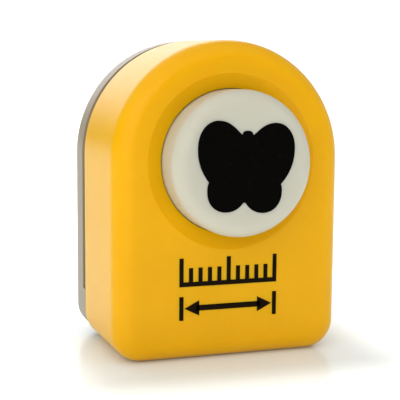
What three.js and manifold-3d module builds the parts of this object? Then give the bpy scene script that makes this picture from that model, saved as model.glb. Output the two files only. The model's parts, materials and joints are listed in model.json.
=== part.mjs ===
// Craft punch for paper: a coloured cover over a grey base, with a paper slot between them and a round
// button that drives a butterfly-shaped cutter through a guide plate and the paper into a die plate.
//
// Every piece is modelled with the punch lying on its base: x across, y from the flat end to the arched
// end, z up from the base's back face to the button. The whole group is then stood on its flat end, so
// that in the part's frame +Z runs up the arch and the button faces -Y. All sizes are in millimetres.

import * as THREE from "three";
import { mergeVertices } from "three/addons/utils/BufferGeometryUtils.js";
import Module from "manifold-3d";

const wasm = await Module();
wasm.setup();

// Outer body
const BODY_WIDTH = 46; // across the front face
const BODY_HEIGHT = 61.2; // flat end to the top of the arch
const BASE_DEPTH = 5.7;
const SLOT_GAP = 2.2; // paper slot
const COVER_DEPTH = 23.4;
const BUTTON_STANDOUT = 7; // button face above the cover's front face
const DRAFT = 0.5; // how much wider each side of the cover is at the slot than at the front
const CORNER_RADIUS = 5.9; // corners of the flat end
const FRONT_FILLET = 3.9; // rounded edge round the cover's front face
const FILLET_STEPS = 5;

// Levels, measured up from the base's back face
const COVER_RIM = BASE_DEPTH + SLOT_GAP;
const FRONT_FACE = COVER_RIM + COVER_DEPTH;
const BUTTON_FACE = FRONT_FACE + BUTTON_STANDOUT;

// The button, its bore and the dished ring round it share the arch's centre
const ARCH_RADIUS = BODY_WIDTH / 2;
const CENTRE_Y = BODY_HEIGHT - ARCH_RADIUS;
const BORE_RADIUS = 14.1;
const DISH_RADIUS = 16.3;
const DISH_DEPTH = 1.3;
const STROKE = 6.2; // button travel
const REST_GAP = 0.1; // between the button's flange and the collar that stops it

// Clearances
const SEAT_GAP = 0.05; // between pieces that bear on each other
const SLIDE_GAP = 0.08; // cutter in guide plate and die plate
const POCKET_GAP = 0.15; // round the die plate and the spacer
const OVERCUT = 1; // how far a cutting shape runs past the face that it opens

// Cover
const COVER_WALL = 2;
const FRONT_WALL = 2.2;
const COVER_ROOF = FRONT_FACE - FRONT_WALL;
const ROOF_SLOPE = 2; // the inner corner is sloped by this much, to follow the front fillet
const COLLAR_RADIUS = 15.9; // outside of the button's guide collar
const COLLAR_END = FRONT_FACE - 5;
const BORE_LEAD = 0.3; // small bevel from the dish into the bore
const BOSS_RADIUS = 2.7;
const PILOT_DEPTH = 10;
const RIB_X = 7;
const RIB_THICKNESS = 1.2;
const RIB_DEPTH = 8;
const ROOT = 0.5; // how far bosses, ribs and collar run into the front wall

// Metal plates
const PLATE_THICKNESS = 3;
const PLATE_MARGIN = COVER_WALL + POCKET_GAP + SEAT_GAP; // in from the body's outline
const PLATE_END_Y = 3.2; // the plates' edge near the flat end
const DIE_BOTTOM = BASE_DEPTH - SEAT_GAP - PLATE_THICKNESS;
const GUIDE_SETBACK = 0.2; // the guide plate's face above the cover's rim
const GUIDE_BOTTOM = COVER_RIM + GUIDE_SETBACK;
const GUIDE_TOP = GUIDE_BOTTOM + PLATE_THICKNESS;
const HUB_RADIUS = 11.7; // raised guide hub round the cutter, clear of the button's skirt
const CHIP_RELIEF = 0.5; // the die's hole widens below, so that chips fall free
const CHIP_RELIEF_HEIGHT = 1.4;

// Throat block, which closes the slot towards the flat end
const THROAT_Y = 10.2;
const SPACER_WIDTH = 37;
const SPACER_START_Y = 3.8;
const SPACER_END_Y = 9;
const BASE_INSET_Y = 1; // the base stops this short of the flat end
const BASE_CORNER_RADIUS = 5;
const BASE_EDGE = 0.7; // rounded edge of the base's back face
const WINDOW_RADIUS = 12.5; // chip window through the base
const WINDOW_BEVEL = 1.2;

// Button and plunger
const BUTTON_RADIUS = 13.75;
const BUTTON_EDGE = 2; // rounded edge of the button's face
const SKIRT_INNER_RADIUS = 12.15;
const BUTTON_ROOF = 2;
const BUTTON_BOSS_RADIUS = 2.4;
const FLANGE_RADIUS = 15.3;
const FLANGE_THICKNESS = 1.5;
const FLANGE_TOP = COLLAR_END - REST_GAP;
const SKIRT_END = FLANGE_TOP - FLANGE_THICKNESS;
const LABEL_THICKNESS = 0.28;
const LABEL_RECESS = 0.3;
const LABEL_FLOOR_GAP = 0.02;
const LABEL_TURN = THREE.MathUtils.degToRad(-2.5); // the stuck-on silhouette sits slightly turned
const CARRIER_SETBACK = 0.5; // up from the end of the button's skirt
const TIP_SETBACK = 0.5; // the cutter rests this far inside the guide plate
const CARRIER_RADIUS = 11.9;
const CARRIER_THICKNESS = 2;
const CARRIER_BOTTOM = SKIRT_END + CARRIER_SETBACK;
const CARRIER_TOP = CARRIER_BOTTOM + CARRIER_THICKNESS;
const CUTTER_TIP = GUIDE_BOTTOM + TIP_SETBACK;
const HUB_TOP = CARRIER_BOTTOM - STROKE - SEAT_GAP; // the carrier stops on the hub

// Return spring
const SPRING_RADIUS = 13.5; // to the middle of the wire
const WIRE = 1.4;
const SPRING_TURNS = 4;

// Screw and dowel sizes
const CLEARANCE_HOLE = 1.5;
const PILOT_HOLE = 1.25;
const TAPPED_HOLE = 1.3;
const COUNTERSINK_DEPTH = 1.1;
const COUNTERBORE_RADIUS = 2.7;
const COUNTERBORE_DEPTH = 1.5;
const DOWEL_RADIUS = 1;
const DOWEL_HOLE = 1.05;
const DOWEL_COVER = 0.5; // metal left over each end of a dowel
const CUTTER_TAP_DEPTH = 7;
const CARRIER_HOLE = 1.4;
const CARRIER_PILOT = 1.15;

// Screws: radii and lengths
const DRIVE_WIDTH = 0.56;
const DRIVE_DEPTH = 0.75;
const SCREW_SEAT = COUNTERBORE_DEPTH - SEAT_GAP;
const caseScrew = { shank: 1.2, head: 2.4, headHeight: 1.3, length: 18.5 };
const baseScrew = { shank: 1.2, head: 2.4, headHeight: 1.3, length: 3.2 };
const dieScrew = { shank: 1.25, head: 2.3, length: 8.1 };
const guideScrew = { shank: 1.2, head: 2.3, length: 9 };
const carrierScrew = { shank: 1.1, head: 2.2, length: 7 };
const socketScrew = { shank: 1.25, head: 2.3, headHeight: 2, length: 7, socket: 1, socketDepth: 1.2 };

// Screw places, as [x, y]
const END_ROW_Y = 6.2;
const CASE_SCREWS = { left: [-15.5, END_ROW_Y], right: [15.5, END_ROW_Y] };
const DIE_SCREWS = { left: [-9.5, END_ROW_Y], right: [9.5, END_ROW_Y] };
const DOWELS = { left: [-4, END_ROW_Y], right: [4, END_ROW_Y] };
const ARCH_SCREWS = { left: [-13.2, CENTRE_Y + 13.9], right: [13.2, CENTRE_Y + 13.9] };
const CUTTER_SCREWS = { left: [-4.6, CENTRE_Y + 1], right: [4.6, CENTRE_Y + 1] };
const CARRIER_SCREW_RADIUS = 9.7;
const CARRIER_SCREWS = [90, 210, 330].map((degrees) => {
  const angle = THREE.MathUtils.degToRad(degrees);
  return [CARRIER_SCREW_RADIUS * Math.cos(angle), CENTRE_Y + CARRIER_SCREW_RADIUS * Math.sin(angle)];
});

const ARCH_STEPS = 32;
const CORNER_STEPS = 5;
const ROUND_STEPS = 40;
const HOLE_STEPS = 12;

const plastic = (color, roughness) => new THREE.MeshStandardMaterial({ color, roughness, metalness: 0 });
const metal = (color, roughness) => new THREE.MeshStandardMaterial({ color, roughness, metalness: 1 });
const finishes = {
  cover: plastic(0xf0ae10, 0.38),
  base: plastic(0xb4b0a4, 0.5),
  button: plastic(0xd2d2c4, 0.4),
  label: plastic(0x0b0908, 0.55),
  castMetal: metal(0xa4a6a8, 0.5),
  toolSteel: metal(0xb8bbc0, 0.3),
  screwSteel: metal(0x8f9296, 0.35),
  springSteel: metal(0xaab0b6, 0.25),
};

// ---- Shapes -------------------------------------------------------------------------------------

// Points on an arc, both ends included.
function arc(cx, cy, radius, from, to, steps) {
  return Array.from({ length: steps + 1 }, (_, i) => {
    const angle = from + ((to - from) * i) / steps;
    return new THREE.Vector2(cx + radius * Math.cos(angle), cy + radius * Math.sin(angle));
  });
}

// The tombstone outline: a half-round arch over straight sides and a flat end with rounded corners.
// grow widens the sides and arch, inset shrinks the whole outline.
function outline({ grow = 0, inset = 0, endY = 0, corner = CORNER_RADIUS } = {}) {
  const half = ARCH_RADIUS + grow - inset;
  const radius = corner - inset;
  const end = endY + inset;
  return [
    ...arc(0, CENTRE_Y, half, 0, Math.PI, ARCH_STEPS),
    ...arc(-half + radius, end + radius, radius, Math.PI, 1.5 * Math.PI, CORNER_STEPS),
    ...arc(half - radius, end + radius, radius, 1.5 * Math.PI, 2 * Math.PI, CORNER_STEPS),
  ];
}

// A closed solid through outlines stacked at rising levels: sections are [points, z] pairs.
function loft(sections) {
  const count = sections[0][0].length;
  const positions = sections.flatMap(([points, z]) => points.flatMap((p) => [p.x, p.y, z]));
  const index = [];
  for (let s = 0; s + 1 < sections.length; s++) {
    for (let i = 0; i < count; i++) {
      const a = s * count + i;
      const b = s * count + ((i + 1) % count);
      index.push(a, b, b + count, a, b + count, a + count);
    }
  }
  const top = (sections.length - 1) * count;
  for (const [a, b, c] of THREE.ShapeUtils.triangulateShape(sections[0][0], [])) {
    index.push(c, b, a, top + a, top + b, top + c);
  }
  const geometry = new THREE.BufferGeometry();
  geometry.setAttribute("position", new THREE.Float32BufferAttribute(positions, 3));
  return geometry.setIndex(index);
}

function prism(points, bottom, top) {
  return loft([
    [points, bottom],
    [points, top],
  ]);
}

// A solid of revolution about a z axis at [x, y], from [radius, z] pairs that start and end on the axis.
function turned(profile, [x, y], steps = HOLE_STEPS) {
  const points = profile.map(([radius, z]) => new THREE.Vector2(radius, z));
  return new THREE.LatheGeometry(points, steps).rotateX(Math.PI / 2).translate(x, y, 0);
}

function cylinder(radius, place, bottom, top, steps = HOLE_STEPS) {
  return new THREE.CylinderGeometry(radius, radius, top - bottom, steps)
    .rotateX(Math.PI / 2)
    .translate(place[0], place[1], (bottom + top) / 2);
}

function box([x0, x1], [y0, y1], [z0, z1]) {
  const block = new THREE.BoxGeometry(x1 - x0, y1 - y0, z1 - z0);
  return block.translate((x0 + x1) / 2, (y0 + y1) / 2, (z0 + z1) / 2);
}

// The butterfly, about the bore's axis. Its right half is drawn and mirrored.
function butterflyHalf() {
  const path = new THREE.Path().moveTo(0, 6);
  path.quadraticCurveTo(0.85, 6.1, 1.05, 5.5); // head
  path.bezierCurveTo(2.2, 6.4, 3.4, 7.9, 5.6, 7.9); // inner edge of the upper wing
  path.bezierCurveTo(8, 7.9, 9.525, 5.7, 9.525, 3.1);
  path.bezierCurveTo(9.6, 0.9, 8.9, -1.4, 7.1, -3.4); // outer edge down to the waist
  path.quadraticCurveTo(7.5, -4.3, 7.35, -5.3);
  path.bezierCurveTo(7.2, -7.4, 5.7, -8.85, 3.7, -8.85); // lower wing
  path.bezierCurveTo(2.2, -8.85, 1, -8.2, 0, -7);
  return path.getPoints(5);
}

// The whole butterfly, anticlockwise, moved out by clearance and turned about the bore's axis.
function butterfly(clearance = 0, turn = 0) {
  const right = butterflyHalf();
  const left = right.slice(1, -1).map((p) => new THREE.Vector2(-p.x, p.y));
  const points = [...right.reverse(), ...left];
  return points.map((point, i) => {
    const before = points.at(i - 1);
    const after = points[(i + 1) % points.length];
    const along = after.clone().sub(before).normalize();
    return point
      .clone()
      .add(new THREE.Vector2(along.y, -along.x).multiplyScalar(clearance))
      .rotateAround(new THREE.Vector2(), turn)
      .add(new THREE.Vector2(0, CENTRE_Y));
  });
}

// ---- Solids -------------------------------------------------------------------------------------

function solid(geometry) {
  const bare = geometry.clone();
  bare.deleteAttribute("normal");
  bare.deleteAttribute("uv");
  const merged = mergeVertices(bare, 1e-4);
  return new wasm.Manifold(
    new wasm.Mesh({
      numProp: 3,
      vertProperties: new Float32Array(merged.attributes.position.array),
      triVerts: new Uint32Array(merged.index.array),
    }),
  );
}

const join = (...geometries) => geometries.map(solid).reduce((all, next) => all.add(next));
const cut = (from, ...geometries) => geometries.map(solid).reduce((left, next) => left.subtract(next), from);

function geometryOf(manifold) {
  const { numProp, vertProperties, triVerts } = manifold.getMesh();
  const positions = new Float32Array((vertProperties.length / numProp) * 3);
  for (let i = 0; i < positions.length / 3; i++) {
    positions.set(vertProperties.subarray(i * numProp, i * numProp + 3), i * 3);
  }
  const geometry = new THREE.BufferGeometry();
  geometry.setAttribute("position", new THREE.BufferAttribute(positions, 3));
  geometry.setIndex(new THREE.BufferAttribute(triVerts, 1));
  geometry.computeVertexNormals();
  return geometry;
}

// ---- Housing ------------------------------------------------------------------------------------

function cover() {
  const fillet = Array.from({ length: FILLET_STEPS + 1 }, (_, i) => {
    const angle = (i / FILLET_STEPS) * (Math.PI / 2);
    const inset = FRONT_FILLET * (1 - Math.cos(angle));
    return [outline({ inset }), FRONT_FACE - FRONT_FILLET * (1 - Math.sin(angle))];
  });
  const shell = loft([[outline({ grow: DRAFT }), COVER_RIM], ...fillet]);
  const cavity = loft([
    [outline({ grow: DRAFT, inset: COVER_WALL }), COVER_RIM - OVERCUT],
    [outline({ inset: COVER_WALL }), COVER_ROOF - ROOF_SLOPE],
    [outline({ inset: COVER_WALL + ROOF_SLOPE }), COVER_ROOF],
  ]);
  const rootTop = COVER_ROOF + ROOT;
  const collar = cylinder(COLLAR_RADIUS, [0, CENTRE_Y], COLLAR_END, rootTop, ROUND_STEPS);
  const places = [...Object.values(CASE_SCREWS), ...Object.values(ARCH_SCREWS)];
  const bosses = places.map((place) => cylinder(BOSS_RADIUS, place, GUIDE_TOP + SEAT_GAP, rootTop));
  const pilots = places.map((place) => cylinder(PILOT_HOLE, place, GUIDE_TOP, GUIDE_TOP + PILOT_DEPTH));
  const ribs = [-RIB_X, RIB_X].map((x) =>
    box(
      [x - RIB_THICKNESS / 2, x + RIB_THICKNESS / 2],
      [COVER_WALL - ROOT, CENTRE_Y - COLLAR_RADIUS + OVERCUT],
      [COVER_ROOF - RIB_DEPTH, rootTop],
    ),
  );
  const bore = turned(
    [
      [0, COLLAR_END - OVERCUT],
      [BORE_RADIUS, COLLAR_END - OVERCUT],
      [BORE_RADIUS, FRONT_FACE - DISH_DEPTH - BORE_LEAD],
      [BORE_RADIUS + BORE_LEAD, FRONT_FACE - DISH_DEPTH],
      [DISH_RADIUS, FRONT_FACE],
      [DISH_RADIUS, FRONT_FACE + OVERCUT],
      [0, FRONT_FACE + OVERCUT],
    ],
    [0, CENTRE_Y],
    ROUND_STEPS,
  );
  return cut(cut(solid(shell), cavity).add(join(collar, ...bosses, ...ribs)), bore, ...pilots);
}

// The base plate, with a bridge up to the cover at the flat end and a pocket that holds the die plate.
function base() {
  const sides = { grow: DRAFT, endY: BASE_INSET_Y, corner: BASE_CORNER_RADIUS };
  const plate = loft([
    [outline({ ...sides, inset: BASE_EDGE }), 0],
    [outline({ ...sides, inset: BASE_EDGE * 0.3 }), BASE_EDGE * 0.3],
    [outline(sides), BASE_EDGE],
    [outline(sides), BASE_DEPTH],
  ]);
  const bridgeTop = COVER_RIM - SEAT_GAP;
  const bridge = solid(prism(outline(sides), BASE_DEPTH - OVERCUT, bridgeTop)).intersect(
    solid(box([-BODY_WIDTH, BODY_WIDTH], [0, THROAT_Y], [0, FRONT_FACE])),
  );
  const pocket = prism(plateOutline(PLATE_MARGIN - POCKET_GAP), DIE_BOTTOM - SEAT_GAP, FRONT_FACE);
  const halfWall = ARCH_RADIUS + DRAFT - PLATE_MARGIN + 1; // the throat wall runs into both side walls
  const throatWall = box(
    [-halfWall, halfWall],
    [SPACER_END_Y + POCKET_GAP, THROAT_Y],
    [BASE_DEPTH, bridgeTop],
  );
  const window = turned(
    [
      [0, -OVERCUT],
      [WINDOW_RADIUS + WINDOW_BEVEL, -OVERCUT],
      [WINDOW_RADIUS + WINDOW_BEVEL, 0],
      [WINDOW_RADIUS, WINDOW_BEVEL],
      [WINDOW_RADIUS, BASE_DEPTH],
      [0, BASE_DEPTH],
    ],
    [0, CENTRE_Y],
    ROUND_STEPS,
  );
  const places = [...Object.values(CASE_SCREWS), ...Object.values(ARCH_SCREWS)];
  const screwHoles = places.map((place) =>
    turned(
      [
        [0, -OVERCUT],
        [COUNTERBORE_RADIUS, -OVERCUT],
        [COUNTERBORE_RADIUS, COUNTERBORE_DEPTH],
        [CLEARANCE_HOLE, COUNTERBORE_DEPTH],
        [CLEARANCE_HOLE, BASE_DEPTH],
        [0, BASE_DEPTH],
      ],
      place,
    ),
  );
  const tray = cut(solid(plate).add(bridge), pocket).add(solid(throatWall));
  return tray.subtract(join(window, ...screwHoles));
}

// ---- Die set ------------------------------------------------------------------------------------

function plateOutline(inset) {
  return outline({ grow: DRAFT, inset, endY: PLATE_END_Y - PLATE_MARGIN });
}

const holes = (places, radius, bottom, top) =>
  Object.values(places).map((place) => cylinder(radius, place, bottom, top));

const countersinks = (places, shank, z) =>
  Object.values(places).map((place) => countersink(place, shank, z));

function guidePlate() {
  const plate = prism(plateOutline(PLATE_MARGIN), GUIDE_BOTTOM, GUIDE_TOP);
  const hub = cylinder(HUB_RADIUS, [0, CENTRE_Y], GUIDE_TOP - ROOT, HUB_TOP, ROUND_STEPS);
  const opening = prism(butterfly(SLIDE_GAP), GUIDE_BOTTOM - OVERCUT, HUB_TOP + OVERCUT);
  const through = [GUIDE_BOTTOM - OVERCUT, GUIDE_TOP + OVERCUT];
  return cut(
    join(plate, hub),
    opening,
    ...holes(CASE_SCREWS, CLEARANCE_HOLE, ...through),
    ...holes(DIE_SCREWS, TAPPED_HOLE, ...through),
    ...holes(DOWELS, DOWEL_HOLE, GUIDE_BOTTOM - OVERCUT, GUIDE_TOP - DOWEL_COVER),
    ...holes(ARCH_SCREWS, CLEARANCE_HOLE, ...through),
    ...countersinks(ARCH_SCREWS, CLEARANCE_HOLE, GUIDE_BOTTOM),
  );
}

function diePlate() {
  const top = BASE_DEPTH - SEAT_GAP;
  const plate = prism(plateOutline(PLATE_MARGIN), DIE_BOTTOM, top);
  const opening = prism(butterfly(SLIDE_GAP), DIE_BOTTOM - OVERCUT, top + OVERCUT);
  const relief = prism(butterfly(CHIP_RELIEF), DIE_BOTTOM - OVERCUT, DIE_BOTTOM + CHIP_RELIEF_HEIGHT);
  const through = [DIE_BOTTOM - OVERCUT, top + OVERCUT];
  return cut(
    solid(plate),
    opening,
    relief,
    ...holes(CASE_SCREWS, CLEARANCE_HOLE, ...through),
    ...holes(DIE_SCREWS, CLEARANCE_HOLE, ...through),
    ...countersinks(DIE_SCREWS, CLEARANCE_HOLE, DIE_BOTTOM),
    ...holes(DOWELS, DOWEL_HOLE, DIE_BOTTOM + DOWEL_COVER, top + OVERCUT),
    ...holes(ARCH_SCREWS, PILOT_HOLE, DIE_BOTTOM - OVERCUT, top - DOWEL_COVER),
  );
}

function throatSpacer() {
  const half = SPACER_WIDTH / 2;
  const bar = box([-half, half], [SPACER_START_Y, SPACER_END_Y], [BASE_DEPTH, GUIDE_BOTTOM - SEAT_GAP]);
  return cut(
    solid(bar),
    ...holes(CASE_SCREWS, CLEARANCE_HOLE, 0, FRONT_FACE),
    ...holes(DIE_SCREWS, CLEARANCE_HOLE, 0, FRONT_FACE),
    ...holes(DOWELS, DOWEL_HOLE, 0, FRONT_FACE),
  );
}

// ---- Plunger ------------------------------------------------------------------------------------

function buttonCap() {
  const rimCentre = [BUTTON_RADIUS - BUTTON_EDGE, BUTTON_FACE - BUTTON_EDGE];
  const rim = arc(...rimCentre, BUTTON_EDGE, 0, Math.PI / 2, FILLET_STEPS);
  const body = turned(
    [
      [0, SKIRT_END],
      [FLANGE_RADIUS, SKIRT_END],
      [FLANGE_RADIUS, FLANGE_TOP],
      [BUTTON_RADIUS, FLANGE_TOP],
      ...rim.map((p) => [p.x, p.y]),
      [0, BUTTON_FACE],
    ],
    [0, CENTRE_Y],
    ROUND_STEPS,
  );
  const roof = BUTTON_FACE - BUTTON_ROOF;
  const hollow = cylinder(SKIRT_INNER_RADIUS, [0, CENTRE_Y], SKIRT_END - OVERCUT, roof, ROUND_STEPS);
  const bosses = holes(CARRIER_SCREWS, BUTTON_BOSS_RADIUS, CARRIER_TOP + SEAT_GAP, roof + ROOT);
  const pilots = holes(CARRIER_SCREWS, CARRIER_PILOT, CARRIER_TOP, CARRIER_TOP + carrierScrew.length);
  const recess = prism(butterfly(SEAT_GAP, LABEL_TURN), BUTTON_FACE - LABEL_RECESS, BUTTON_FACE + OVERCUT);
  return cut(cut(solid(body), hollow).add(join(...bosses)), recess, ...pilots);
}

function label() {
  const bottom = BUTTON_FACE - LABEL_RECESS + LABEL_FLOOR_GAP;
  return solid(prism(butterfly(0, LABEL_TURN), bottom, bottom + LABEL_THICKNESS));
}

function cutter() {
  const top = CARRIER_BOTTOM - SEAT_GAP;
  const tapped = holes(CUTTER_SCREWS, TAPPED_HOLE, top - CUTTER_TAP_DEPTH, top + OVERCUT);
  return cut(solid(prism(butterfly(), CUTTER_TIP, top)), ...tapped);
}

function carrier() {
  const disc = cylinder(CARRIER_RADIUS, [0, CENTRE_Y], CARRIER_BOTTOM, CARRIER_TOP, ROUND_STEPS);
  const through = [CARRIER_BOTTOM - OVERCUT, CARRIER_TOP + OVERCUT];
  return cut(
    solid(disc),
    ...holes(CUTTER_SCREWS, CLEARANCE_HOLE, ...through),
    ...holes(CARRIER_SCREWS, CARRIER_HOLE, ...through),
    ...countersinks(CARRIER_SCREWS, CARRIER_HOLE, CARRIER_BOTTOM),
  );
}

// A steel helix with a closed coil at each end.
class SpringLine extends THREE.Curve {
  constructor(bottom, top) {
    super();
    this.bottom = bottom + WIRE / 2;
    this.rise = top - bottom - WIRE;
  }

  getPoint(t, target = new THREE.Vector3()) {
    const turns = t * SPRING_TURNS;
    const closedPitch = WIRE * 1.05;
    const activeRise = this.rise - 2 * closedPitch;
    const active = THREE.MathUtils.clamp((turns - 1) / (SPRING_TURNS - 2), 0, 1);
    const closed = Math.min(turns, 1) + Math.max(turns - SPRING_TURNS + 1, 0);
    const angle = 2 * Math.PI * turns;
    return target.set(
      SPRING_RADIUS * Math.cos(angle),
      CENTRE_Y + SPRING_RADIUS * Math.sin(angle),
      this.bottom + closedPitch * closed + activeRise * active,
    );
  }
}

function returnSpring() {
  const section = new THREE.Shape().absarc(0, 0, WIRE / 2, 0, 2 * Math.PI);
  return solid(
    new THREE.ExtrudeGeometry(section, {
      curveSegments: 4,
      steps: 72,
      extrudePath: new SpringLine(GUIDE_TOP + SEAT_GAP, SKIRT_END - SEAT_GAP),
    }),
  );
}

// ---- Fasteners ----------------------------------------------------------------------------------

// The hole for a 45-degree screw head that is flush with the face at level z and points up.
function countersink(place, shank, z) {
  return turned(
    [
      [0, z - OVERCUT],
      [shank + COUNTERSINK_DEPTH, z - OVERCUT],
      [shank + COUNTERSINK_DEPTH, z],
      [shank, z + COUNTERSINK_DEPTH],
      [0, z + COUNTERSINK_DEPTH],
    ],
    place,
  );
}

// A cross-recess screw pointing up from its head at level z. A flush head starts at z and narrows
// upwards; a pan head hangs below z by headHeight.
function screw(place, { shank, head, headHeight = 0, length }, z) {
  const top = z + length;
  const underside = z - headHeight;
  const headProfile =
    headHeight > 0
      ? [
          [0, underside],
          [head * 0.8, underside],
          [head, z - headHeight * 0.55],
          [head, z],
          [shank, z],
        ]
      : [
          [0, z],
          [head, z],
          [shank, z + head - shank],
        ];
  const tip = [
    [shank, top - shank * 0.5],
    [shank * 0.5, top],
    [0, top],
  ];
  const [x, y] = place;
  const blade = head * 0.6;
  const recess = [underside - OVERCUT, underside + DRIVE_DEPTH];
  return cut(
    solid(turned([...headProfile, ...tip], place)),
    box([x - blade, x + blade], [y - DRIVE_WIDTH / 2, y + DRIVE_WIDTH / 2], recess),
    box([x - DRIVE_WIDTH / 2, x + DRIVE_WIDTH / 2], [y - blade, y + blade], recess),
  );
}

// A socket screw pointing down into the cutter, its head on top of the carrier.
function cutterScrew(place) {
  const { shank, head, headHeight, length, socket, socketDepth } = socketScrew;
  const seat = CARRIER_TOP + SEAT_GAP;
  const blank = turned(
    [
      [0, seat - length],
      [shank, seat - length],
      [shank, seat],
      [head, seat],
      [head, seat + headHeight],
      [0, seat + headHeight],
    ],
    place,
  );
  const key = cylinder(socket, place, seat + headHeight - socketDepth, seat + headHeight + OVERCUT, 6);
  return cut(solid(blank), key);
}

function dowel(place) {
  const end = DOWEL_COVER + 0.1;
  return solid(cylinder(DOWEL_RADIUS, place, DIE_BOTTOM + end, GUIDE_TOP - end));
}

// ---- Assembly -----------------------------------------------------------------------------------

const punch = new THREE.Group();

function add(name, manifold, material) {
  const mesh = new THREE.Mesh(geometryOf(manifold), material);
  mesh.name = name;
  punch.add(mesh);
}

add("cover", cover(), finishes.cover);
add("base", base(), finishes.base);
add("guide_plate", guidePlate(), finishes.castMetal);
add("die_plate", diePlate(), finishes.toolSteel);
add("throat_spacer", throatSpacer(), finishes.castMetal);
add("return_spring", returnSpring(), finishes.springSteel);
add("button_cap", buttonCap(), finishes.button);
add("butterfly_label", label(), finishes.label);
add("cutter", cutter(), finishes.toolSteel);
add("cutter_carrier", carrier(), finishes.castMetal);

for (const side of ["left", "right"]) {
  add(`case_screw_${side}`, screw(CASE_SCREWS[side], caseScrew, SCREW_SEAT), finishes.screwSteel);
  add(`base_screw_${side}`, screw(ARCH_SCREWS[side], baseScrew, SCREW_SEAT), finishes.screwSteel);
  add(`die_screw_${side}`, screw(DIE_SCREWS[side], dieScrew, DIE_BOTTOM), finishes.screwSteel);
  add(`guide_screw_${side}`, screw(ARCH_SCREWS[side], guideScrew, GUIDE_BOTTOM), finishes.screwSteel);
  add(`dowel_${side}`, dowel(DOWELS[side]), finishes.toolSteel);
  add(`cutter_screw_${side}`, cutterScrew(CUTTER_SCREWS[side]), finishes.screwSteel);
}
CARRIER_SCREWS.forEach((place, i) => {
  add(`carrier_screw_${i + 1}`, screw(place, carrierScrew, CARRIER_BOTTOM), finishes.screwSteel);
});

// Stand the punch on its flat end, with its depth centred on the origin.
punch.rotation.x = Math.PI / 2;
punch.position.y = BUTTON_FACE / 2;

export default punch;
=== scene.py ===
"""A butterfly craft punch, standing on its flat end in a plain white studio.

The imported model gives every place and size: the classes below read the boxes of its nodes and build the
finer shells, prints and fasteners in the same frame, in metres, with +Z up the arch and the button
facing -Y.
"""

from __future__ import annotations

import json
import logging
import math
from dataclasses import dataclass, field, replace
from enum import Enum
from typing import Callable, Iterable, Sequence

import bmesh
import bpy
from mathutils import Euler, Matrix, Vector

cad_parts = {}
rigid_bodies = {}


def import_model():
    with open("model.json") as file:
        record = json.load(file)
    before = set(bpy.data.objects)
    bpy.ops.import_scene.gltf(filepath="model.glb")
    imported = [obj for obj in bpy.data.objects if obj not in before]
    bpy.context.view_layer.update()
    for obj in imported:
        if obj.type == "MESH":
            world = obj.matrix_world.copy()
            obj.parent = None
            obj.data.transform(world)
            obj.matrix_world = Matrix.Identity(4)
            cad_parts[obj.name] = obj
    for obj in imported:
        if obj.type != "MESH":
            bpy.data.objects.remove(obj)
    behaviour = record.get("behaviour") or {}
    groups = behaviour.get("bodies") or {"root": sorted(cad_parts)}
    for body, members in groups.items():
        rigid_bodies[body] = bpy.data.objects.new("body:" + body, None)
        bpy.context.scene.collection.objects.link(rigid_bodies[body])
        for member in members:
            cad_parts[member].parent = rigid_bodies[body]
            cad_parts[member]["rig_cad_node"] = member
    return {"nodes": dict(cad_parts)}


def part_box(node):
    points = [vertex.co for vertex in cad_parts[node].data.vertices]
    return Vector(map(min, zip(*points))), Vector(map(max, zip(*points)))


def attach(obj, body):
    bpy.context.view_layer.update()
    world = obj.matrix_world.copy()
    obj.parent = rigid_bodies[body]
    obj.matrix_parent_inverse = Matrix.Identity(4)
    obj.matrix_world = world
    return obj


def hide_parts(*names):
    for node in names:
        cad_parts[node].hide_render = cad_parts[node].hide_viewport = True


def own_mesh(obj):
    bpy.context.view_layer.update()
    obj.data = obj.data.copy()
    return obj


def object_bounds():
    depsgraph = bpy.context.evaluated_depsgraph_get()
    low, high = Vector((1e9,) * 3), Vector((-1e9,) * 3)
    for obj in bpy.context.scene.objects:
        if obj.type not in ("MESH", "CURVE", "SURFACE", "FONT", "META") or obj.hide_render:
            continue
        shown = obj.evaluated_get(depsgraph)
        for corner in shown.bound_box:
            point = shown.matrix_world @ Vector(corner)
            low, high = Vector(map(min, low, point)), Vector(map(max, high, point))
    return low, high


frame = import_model()
CAD_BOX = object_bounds()

log = logging.getLogger("craft_punch")

MM = 0.001
BREAK = 0.2 * MM  # how far a moulded edge is broken
BAND = 0.4 * MM  # flat strip that holds the shading of a rounding
HOUSING = "housing"
PLUNGER = "plunger"

Ring = list[Vector]
Colour = tuple[float, float, float]


# ---------------------------------------------------------------------------------------------------
# Shader desk
# ---------------------------------------------------------------------------------------------------


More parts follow.
